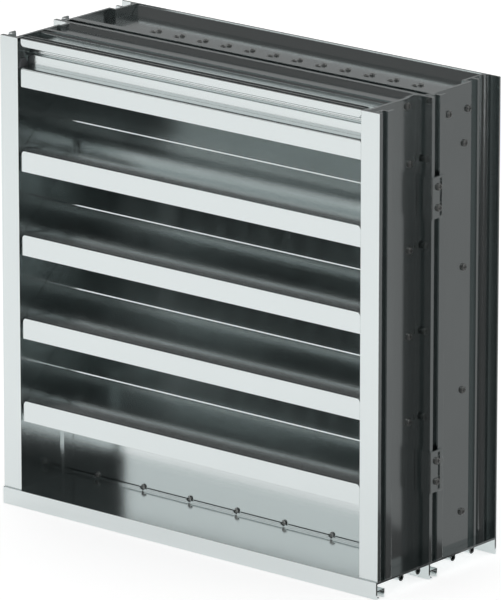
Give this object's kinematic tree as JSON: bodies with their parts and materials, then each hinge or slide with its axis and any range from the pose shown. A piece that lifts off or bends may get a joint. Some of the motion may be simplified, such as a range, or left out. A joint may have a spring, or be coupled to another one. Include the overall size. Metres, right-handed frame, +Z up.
{
  "type": "rain louver",
  "caption": "Two-stage aluminium rain louver: sloping horizontal blades in a front frame, upright water-catching blades in a rear frame, joined by clips over stepped sills.",
  "frame": {"origin": "middle of the footprint, on the surface that the sill legs stand on", "axes": "+Z up, front of the louver towards -Y, back flange towards +Y"},
  "size_m": [0.4686, 0.1798, 0.464],
  "materials": {
    "mill_aluminium": "satin",
    "steel_screws": "satin",
    "plug_plastic": "matte"
  },
  "bodies": {
    "root": {"front_jamb_left": "mill_aluminium", "front_jamb_right": "mill_aluminium", "rear_jamb_left": "mill_aluminium", "rear_jamb_right": "mill_aluminium", "deflector_left": "mill_aluminium", "deflector_right": "mill_aluminium", "corner_cleat_left": "mill_aluminium", "corner_cleat_right": "mill_aluminium", "gutter_plug_left": "plug_plastic", "gutter_plug_right": "plug_plastic", "joining_clip_upper_left": "mill_aluminium", "joining_clip_upper_right": "mill_aluminium", "joining_clip_lower_left": "mill_aluminium", "joining_clip_lower_right": "mill_aluminium", "front_screws_left": "steel_screws", "front_screws_right": "steel_screws", "rear_screws_left": "steel_screws", "rear_screws_right": "steel_screws", "clip_screws_left": "steel_screws", "clip_screws_right": "steel_screws", "front_head": "mill_aluminium", "rear_head": "mill_aluminium", "front_sill": "mill_aluminium", "rear_sill": "mill_aluminium", "horizontal_blade_1": "mill_aluminium", "horizontal_blade_2": "mill_aluminium", "horizontal_blade_3": "mill_aluminium", "horizontal_blade_4": "mill_aluminium", "upright_blade_01": "mill_aluminium", "upright_blade_02": "mill_aluminium", "upright_blade_03": "mill_aluminium", "upright_blade_04": "mill_aluminium", "upright_blade_05": "mill_aluminium", "upright_blade_06": "mill_aluminium", "upright_blade_07": "mill_aluminium", "upright_blade_08": "mill_aluminium", "upright_blade_09": "mill_aluminium", "upright_blade_10": "mill_aluminium", "upright_blade_11": "mill_aluminium", "upright_blade_12": "mill_aluminium", "upright_top_screws": "steel_screws", "upright_bottom_screws": "steel_screws", "sill_joint_screws": "steel_screws"}
  },
  "joints": []
}
